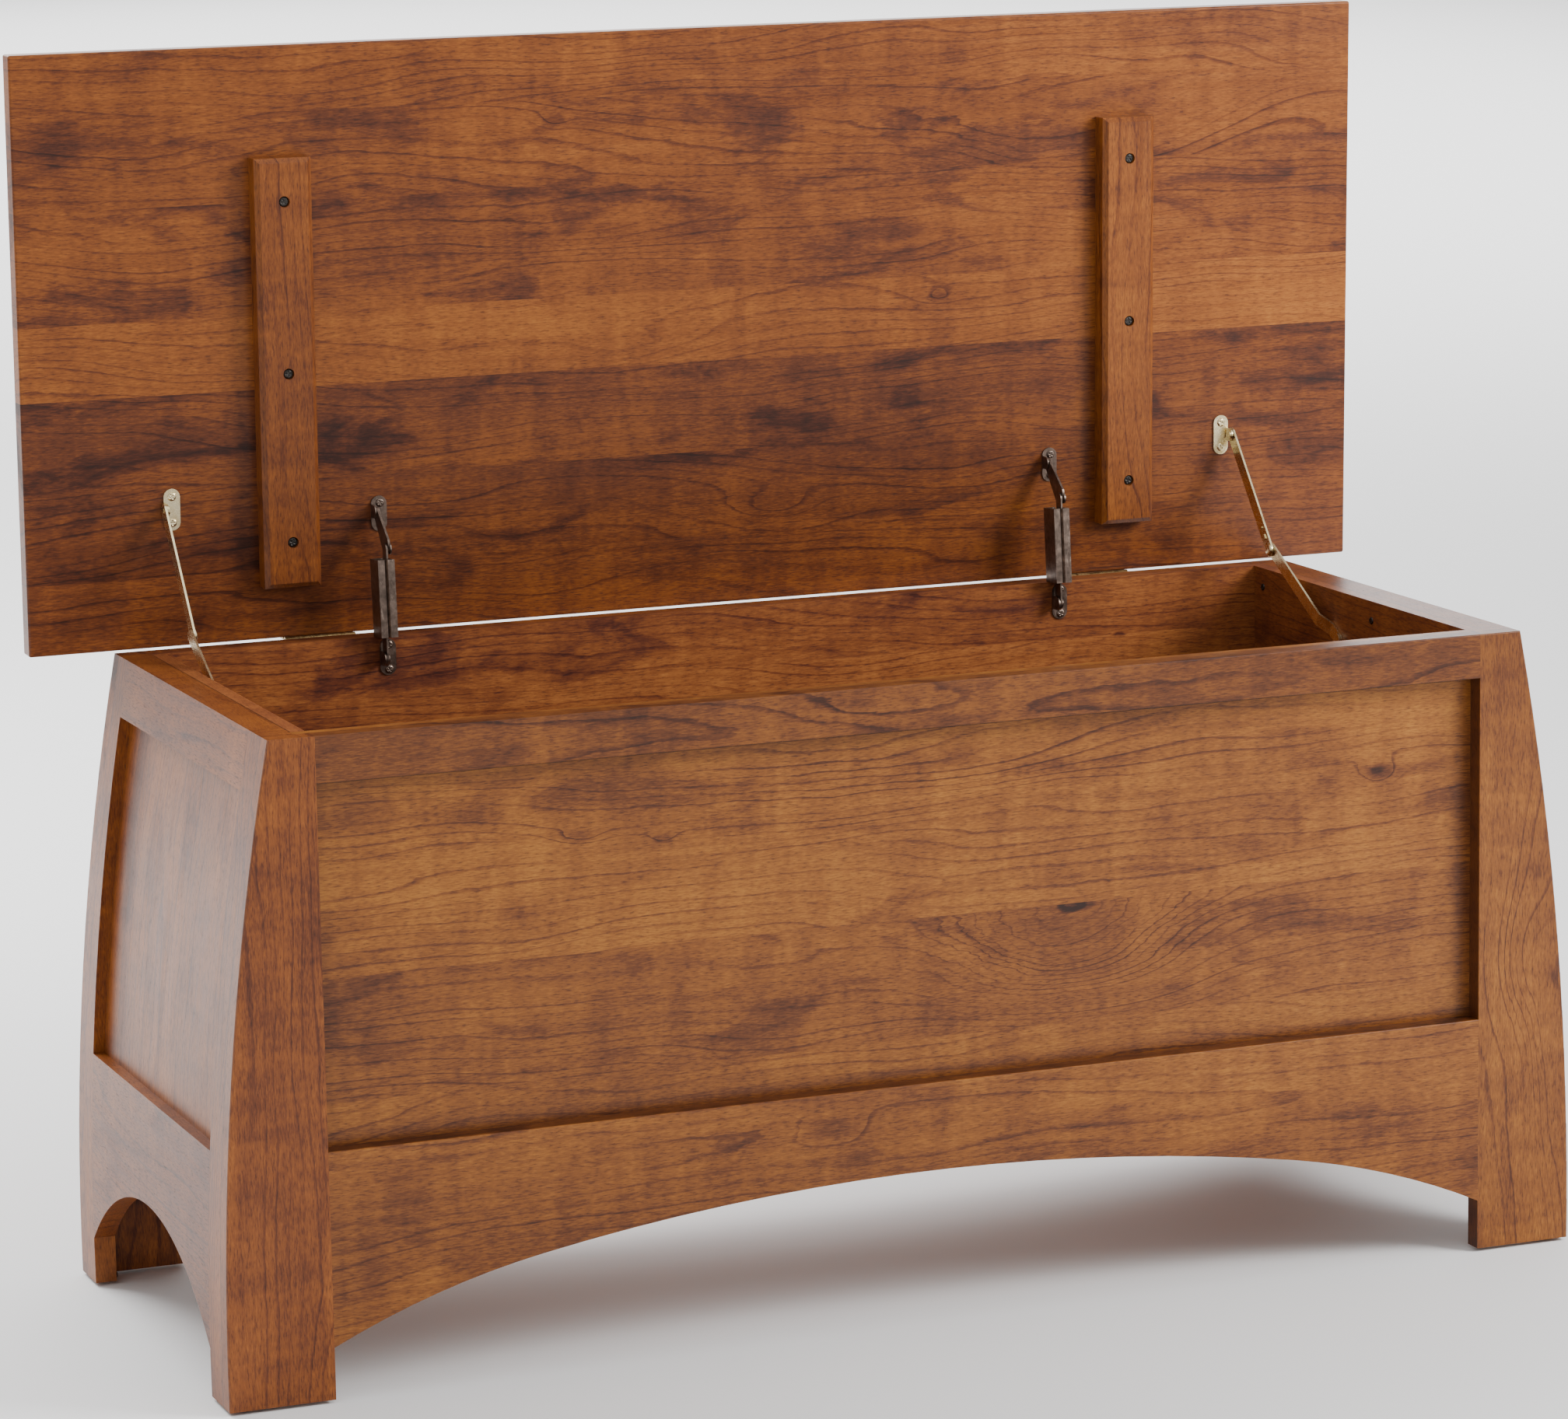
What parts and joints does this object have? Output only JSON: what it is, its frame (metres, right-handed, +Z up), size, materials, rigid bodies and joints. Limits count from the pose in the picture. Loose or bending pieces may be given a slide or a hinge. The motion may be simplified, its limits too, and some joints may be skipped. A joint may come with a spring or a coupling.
{
  "type": "blanket chest",
  "caption": "Open cherry blanket chest with curved ends and arched feet, hinged lid, folding brass stays and bronze spring lid supports.",
  "frame": {"origin": "centre of the outline on the floor, lid open", "axes": "+X along the chest to its right end, +Y towards its back, +Z up"},
  "size_m": [1.2192, 0.4704, 1.0251],
  "materials": {
    "frame_wood": "satin lacquered cherry, upright and level grain",
    "panel_wood": "satin lacquered figured cherry boards",
    "lid_wood": "satin lacquered figured cherry boards",
    "batten_wood": "satin lacquered straight cherry",
    "inside_wood": "thinly lacquered cherry",
    "brass": "polished",
    "bronze": "dark antique with worn edges",
    "spring_steel": "oiled",
    "dark_screw": "black oxide",
    "glide_plastic": "matt"
  },
  "bodies": {
    "carcass": {"back_bottom_rail": "frame_wood", "back_left_stile": "frame_wood", "back_panel": "panel_wood", "back_right_stile": "frame_wood", "back_top_rail": "frame_wood", "floor_cleats": "inside_wood", "floor_panel": "inside_wood", "front_bottom_rail": "frame_wood", "front_left_stile": "frame_wood", "front_panel": "panel_wood", "front_right_stile": "frame_wood", "front_top_rail": "frame_wood", "glides": "glide_plastic", "hinge_case_screws": "brass", "hinge_pins": "brass", "left_hinge_case_leaf": "brass", "left_liner": "panel_wood", "left_side_bottom_rail": "frame_wood", "left_side_front_stile": "frame_wood", "left_side_panel": "panel_wood", "left_side_rear_stile": "frame_wood", "left_side_top_rail": "frame_wood", "liner_screws": "dark_screw", "right_hinge_case_leaf": "brass", "right_liner": "panel_wood", "right_side_bottom_rail": "frame_wood", "right_side_front_stile": "frame_wood", "right_side_panel": "panel_wood", "right_side_rear_stile": "frame_wood", "right_side_top_rail": "frame_wood", "stay_wall_rivets": "brass", "support_wall_brackets": "bronze", "support_wall_screws": "bronze"},
    "lid": {"lid_panel": "lid_wood", "left_batten": "batten_wood", "right_batten": "batten_wood", "batten_screws": "dark_screw", "left_hinge_lid_leaf": "brass", "right_hinge_lid_leaf": "brass", "hinge_lid_screws": "brass", "left_stay_bracket": "brass", "right_stay_bracket": "brass", "stay_screws": "brass", "left_support_lid_bracket": "bronze", "right_support_lid_bracket": "bronze", "support_lid_screws": "bronze"},
    "left_stay_lower": {"left_stay_lower_arm": "brass"},
    "left_stay_upper": {"left_stay_upper_arm": "brass", "left_stay_elbow_rivet": "brass"},
    "left_support_sleeve": {"left_support_strap": "bronze", "left_support_housing": "bronze", "left_support_spring": "spring_steel"},
    "left_support_link": {"left_support_arm": "bronze"},
    "right_stay_lower": {"right_stay_lower_arm": "brass"},
    "right_stay_upper": {"right_stay_upper_arm": "brass", "right_stay_elbow_rivet": "brass"},
    "right_support_sleeve": {"right_support_strap": "bronze", "right_support_housing": "bronze", "right_support_spring": "spring_steel"},
    "right_support_link": {"right_support_arm": "bronze"}
  },
  "joints": [
    {"name": "lid_hinge", "type": "hinge", "parent": "carcass", "child": "lid", "pos_m": [0, 0.2126, 0.5246], "axis": [1, 0, 0], "range_deg": [0, 88.7]},
    {"name": "left_stay_lower_pivot", "type": "hinge", "parent": "carcass", "child": "left_stay_lower", "pos_m": [-0.5012, 0.0168, 0.486], "axis": [1, 0, 0], "range_deg": [-67.6, 0]},
    {"name": "left_stay_upper_pivot", "type": "hinge", "parent": "lid", "child": "left_stay_upper", "pos_m": [-0.4926, 0.2066, 0.64395], "axis": [1, 0, 0], "range_deg": [-37.4, 0]},
    {"name": "left_support_foot_pivot", "type": "hinge", "parent": "carcass", "child": "left_support_sleeve", "pos_m": [-0.3104, 0.1718, 0.5105], "axis": [1, 0, 0], "range_deg": [0, 107]},
    {"name": "left_support_elbow", "type": "hinge", "parent": "left_support_sleeve", "child": "left_support_link", "pos_m": [-0.3089, 0.1786, 0.6025], "axis": [1, 0, 0], "range_deg": [-101.3, 0]},
    {"name": "right_stay_lower_pivot", "type": "hinge", "parent": "carcass", "child": "right_stay_lower", "pos_m": [0.5012, 0.0168, 0.486], "axis": [1, 0, 0], "range_deg": [-67.6, 0]},
    {"name": "right_stay_upper_pivot", "type": "hinge", "parent": "lid", "child": "right_stay_upper", "pos_m": [0.4926, 0.2066, 0.64395], "axis": [1, 0, 0], "range_deg": [-37.4, 0]},
    {"name": "right_support_foot_pivot", "type": "hinge", "parent": "carcass", "child": "right_support_sleeve", "pos_m": [0.3104, 0.1718, 0.5105], "axis": [1, 0, 0], "range_deg": [0, 107]},
    {"name": "right_support_elbow", "type": "hinge", "parent": "right_support_sleeve", "child": "right_support_link", "pos_m": [0.3119, 0.1786, 0.6025], "axis": [1, 0, 0], "range_deg": [-101.3, 0]}
  ],
  "couplings": [
    {"joint": "left_stay_lower_pivot", "follows": "lid_hinge", "ratio": -0.76099},
    {"joint": "left_stay_upper_pivot", "follows": "lid_hinge", "ratio": -0.42036},
    {"joint": "left_support_foot_pivot", "follows": "lid_hinge", "ratio": 1.2056},
    {"joint": "left_support_elbow", "follows": "lid_hinge", "ratio": -1.1404},
    {"joint": "right_stay_lower_pivot", "follows": "lid_hinge", "ratio": -0.76099},
    {"joint": "right_stay_upper_pivot", "follows": "lid_hinge", "ratio": -0.42036},
    {"joint": "right_support_foot_pivot", "follows": "lid_hinge", "ratio": 1.2056},
    {"joint": "right_support_elbow", "follows": "lid_hinge", "ratio": -1.1404}
  ]
}
